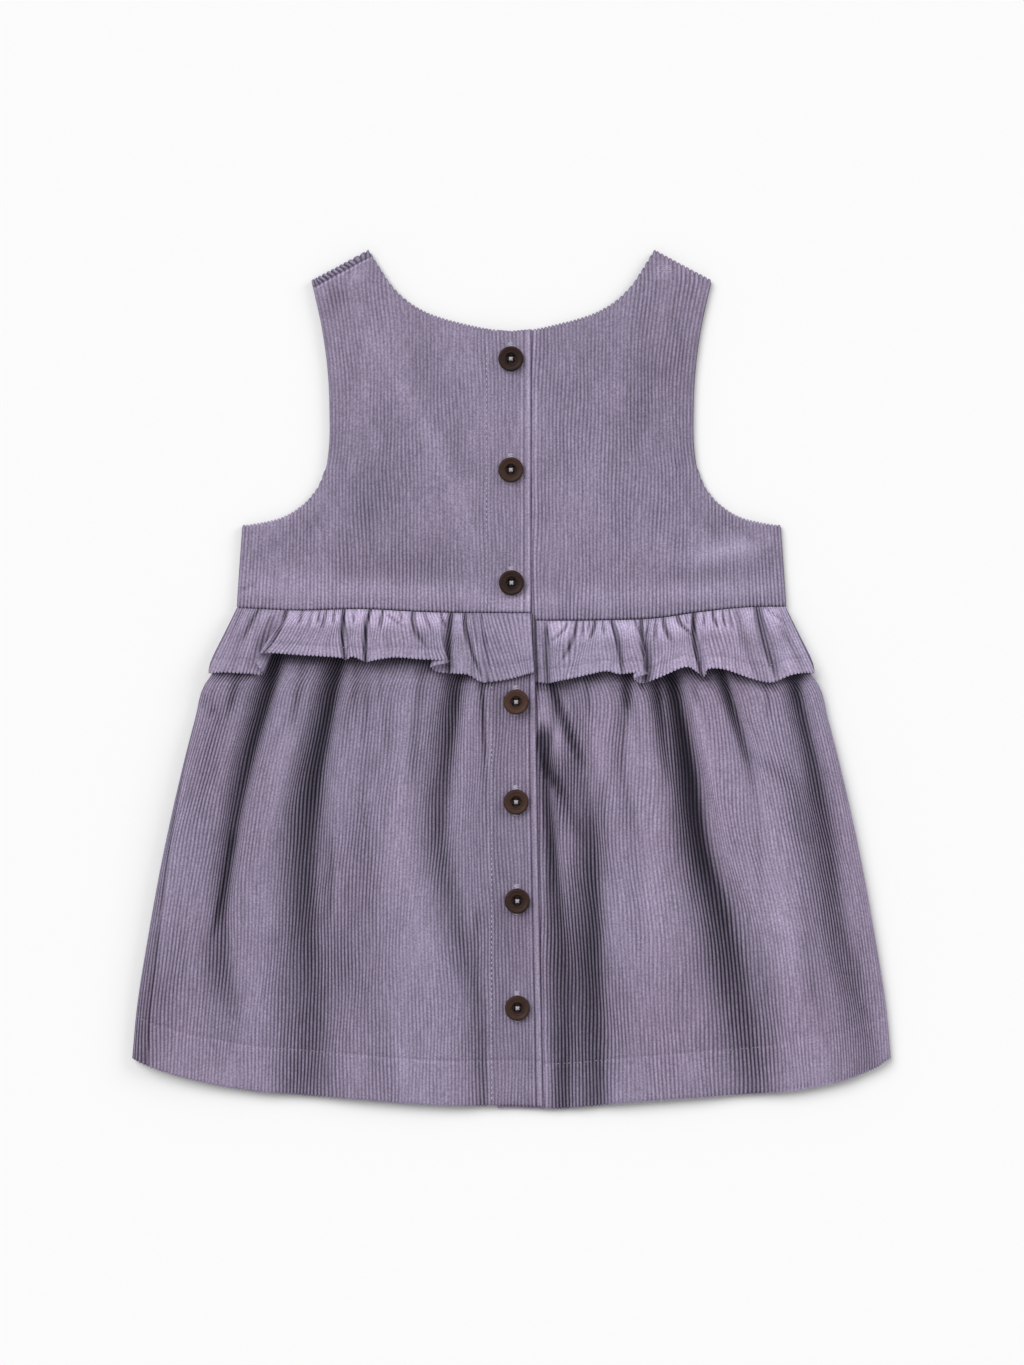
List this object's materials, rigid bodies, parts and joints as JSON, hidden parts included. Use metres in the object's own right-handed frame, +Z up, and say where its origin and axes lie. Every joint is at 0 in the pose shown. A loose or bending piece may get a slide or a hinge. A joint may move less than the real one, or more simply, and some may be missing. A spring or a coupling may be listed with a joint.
{
  "type": "pinafore dress",
  "caption": "Small child's sleeveless corduroy pinafore dress laid flat with its buttoned back up, with a frill at the waist and a gathered skirt.",
  "frame": {"origin": "middle of the dress's outline, on the surface that it lies on", "axes": "+Y towards the neck, +X to the right as seen from above, +Z up, away from the surface, through the buttoned back"},
  "size_m": [0.38, 0.4297, 0.0182],
  "materials": {
    "corduroy": "matt lilac needlecord with a soft sheen",
    "button": "dark brown, satin"
  },
  "bodies": {
    "root": {"front_bodice": "corduroy", "front_frill": "corduroy", "front_skirt": "corduroy", "back_bodice_left": "corduroy", "back_bodice_right": "corduroy", "back_frill_left": "corduroy", "back_frill_right": "corduroy", "back_skirt_left": "corduroy", "back_skirt_right": "corduroy", "button_1": "button", "button_2": "button", "button_3": "button", "button_4": "button", "button_5": "button", "button_6": "button", "button_7": "button"}
  },
  "joints": []
}
